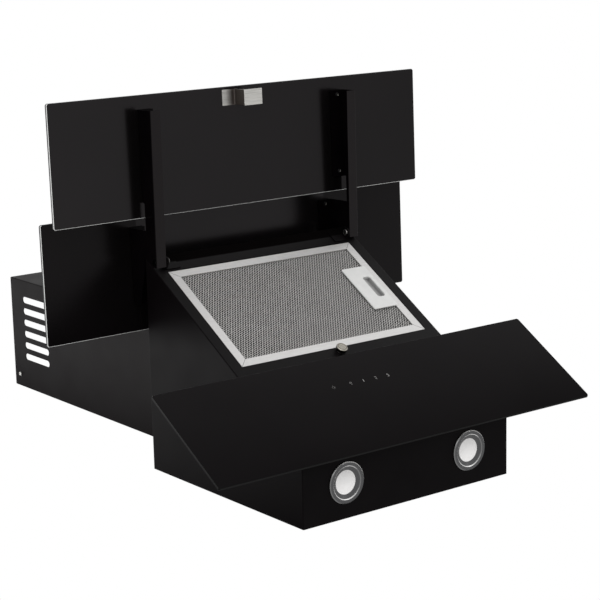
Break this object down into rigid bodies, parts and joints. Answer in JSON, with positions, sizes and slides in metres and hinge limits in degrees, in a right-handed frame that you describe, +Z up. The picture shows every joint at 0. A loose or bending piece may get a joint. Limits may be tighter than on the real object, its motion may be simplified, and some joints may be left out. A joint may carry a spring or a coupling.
{
  "type": "range hood",
  "caption": "Inclined wall range hood: black wedge canopy, glass control strip, hinged two-pane glass door raised over a metal grease filter, round lamps and a slotted chimney cover.",
  "frame": {"origin": "centre of the four wall holes, on the wall plane at the back of the hood", "axes": "+X to the right for a person facing the hood, +Y into the wall, +Z up"},
  "size_m": [0.6, 0.4976, 0.8682],
  "materials": {
    "black_sheet": "satin black powder coat",
    "black_glass": "glossy black toughened glass, back-painted",
    "zinc_sheet": "galvanised",
    "bright_steel": "bright plated",
    "filter_metal": "satin",
    "filter_mesh": "expanded mesh",
    "latch_grey": "satin silver",
    "lamp_chrome": "satin chrome",
    "lamp_lens": "frosted white",
    "magnet": "nickel plated",
    "dark_plastic": "matt black",
    "white_plastic": "matt",
    "motor_metal": "grey",
    "board_green": "green laminate"
  },
  "bodies": {
    "hood": {"canopy_shell": "black_sheet", "back_plate": "zinc_sheet", "filter_seat": "black_sheet", "filter_frame": "filter_metal", "filter_mesh": "filter_mesh", "filter_core": "filter_mesh", "latch_housing": "latch_grey", "latch_spring": "bright_steel", "control_glass": "black_glass", "glass_carrier": "dark_plastic", "touch_board": "board_green", "lamp_bezel_left": "lamp_chrome", "lamp_lens_left": "lamp_lens", "lamp_can_left": "motor_metal", "lamp_bezel_right": "lamp_chrome", "lamp_lens_right": "lamp_lens", "lamp_can_right": "motor_metal", "hinge_bracket_right": "black_sheet", "hinge_bracket_left": "black_sheet", "hinge_pin_right": "bright_steel", "hinge_pin_left": "bright_steel", "magnet_post": "bright_steel", "catch_magnet": "magnet", "scroll_right": "dark_plastic", "scroll_left": "dark_plastic", "motor": "motor_metal", "motor_plate": "zinc_sheet", "outlet_collar": "dark_plastic", "damper_rods": "bright_steel", "chimney_cover": "black_sheet", "chimney_bracket": "zinc_sheet", "power_box": "white_plastic", "power_board": "board_green", "run_capacitor": "white_plastic", "power_box_lid": "white_plastic", "cable_gland": "dark_plastic"},
    "door": {"door_arm_right": "black_sheet", "door_arm_left": "black_sheet", "door_glass_lower": "black_glass", "door_glass_upper": "black_glass", "glass_strips_lower": "black_sheet", "glass_strips_upper": "black_sheet", "strike_plate": "bright_steel"},
    "fan": {"impeller": "white_plastic", "motor_shaft": "bright_steel"},
    "flap_front": {"damper_flap_front": "dark_plastic"},
    "flap_rear": {"damper_flap_rear": "dark_plastic"},
    "latch": {"latch_slider": "latch_grey"}
  },
  "joints": [
    {"name": "door_hinge", "type": "hinge", "parent": "hood", "child": "door", "pos_m": [0, -0.28305, 0.13902], "axis": [1, 0, 0], "range_deg": [0, 122.5]},
    {"name": "impeller_spin", "type": "hinge", "parent": "hood", "child": "fan", "pos_m": [0, -0.112, 0.05], "axis": [1, 0, 0], "continuous": true},
    {"name": "flap_front_swing", "type": "hinge", "parent": "hood", "child": "flap_front", "pos_m": [0, -0.089, 0.182], "axis": [-1, 0, 0], "range_deg": [0, 80]},
    {"name": "flap_rear_swing", "type": "hinge", "parent": "hood", "child": "flap_rear", "pos_m": [0, -0.08, 0.182], "axis": [1, 0, 0], "range_deg": [0, 80]},
    {"name": "latch_slide", "type": "slide", "parent": "hood", "child": "latch", "axis": [-1, 0, 0], "range_m": [0, 0.006], "stiffness_N_per_m": 500, "springref_m": -0.003, "deforming": ["latch_spring"]}
  ]
}
